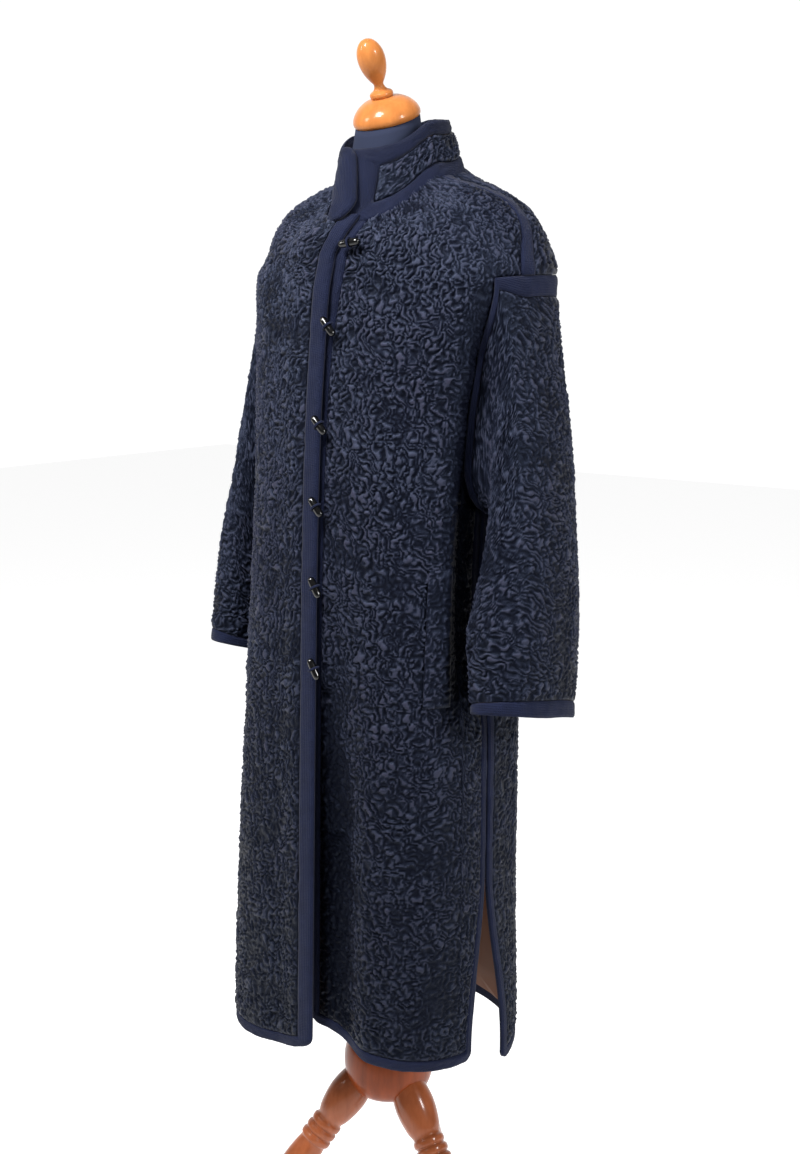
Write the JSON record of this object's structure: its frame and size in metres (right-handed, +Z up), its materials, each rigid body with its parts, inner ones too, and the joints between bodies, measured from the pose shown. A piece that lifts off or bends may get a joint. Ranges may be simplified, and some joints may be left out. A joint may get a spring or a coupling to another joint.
{
  "type": "fur coat on dress form",
  "caption": "Long curly-lamb fur coat with knitted wool edge bands, stand collar, toggle closure and side slits, worn by a dress form on a turned wooden tripod.",
  "frame": {"origin": "on the floor, under the middle of the whole part's width and depth; the pole stands 1.5 mm to the right and 28.7 mm in front of it", "axes": "+Z up, -Y is the way the coat's front faces, +X is towards the wearer's left"},
  "size_m": [0.5586, 0.4614, 1.7071],
  "materials": {
    "fur": "curled black-blue lamb fur on leather",
    "wool_band": "matte navy knitted wool braid",
    "wool_cord": "matte navy wool cord",
    "lining": "tan satin",
    "jersey": "slate-navy jersey stretched over the form",
    "varnished_wood": "gloss varnish over orange-brown wood",
    "dark_wood": "gloss varnish over red-brown wood",
    "horn": "polished dark horn"
  },
  "bodies": {
    "root": {"front_left": "fur", "sleeve_left": "fur", "pocket_welt_left": "fur", "front_band_left": "wool_band", "cuff_band_left": "wool_band", "shoulder_band_left": "wool_band", "armhole_band_left": "wool_band", "lining_front_left": "lining", "front_right": "fur", "sleeve_right": "fur", "pocket_welt_right": "fur", "front_band_right": "wool_band", "cuff_band_right": "wool_band", "shoulder_band_right": "wool_band", "armhole_band_right": "wool_band", "lining_front_right": "lining", "back": "fur", "collar": "fur", "back_band": "wool_band", "collar_band": "wool_band", "lining_back": "lining", "dress_form": "jersey", "neck_cap": "varnished_wood", "finial": "varnished_wood", "pole": "dark_wood", "hub": "dark_wood", "leg_right": "dark_wood", "leg_left": "dark_wood", "leg_back": "dark_wood", "toggle_1": "horn", "loop_1": "wool_cord", "toggle_2": "horn", "loop_2": "wool_cord", "toggle_3": "horn", "loop_3": "wool_cord", "toggle_4": "horn", "loop_4": "wool_cord", "toggle_5": "horn", "loop_5": "wool_cord", "toggle_6": "horn", "loop_6": "wool_cord"}
  },
  "joints": []
}
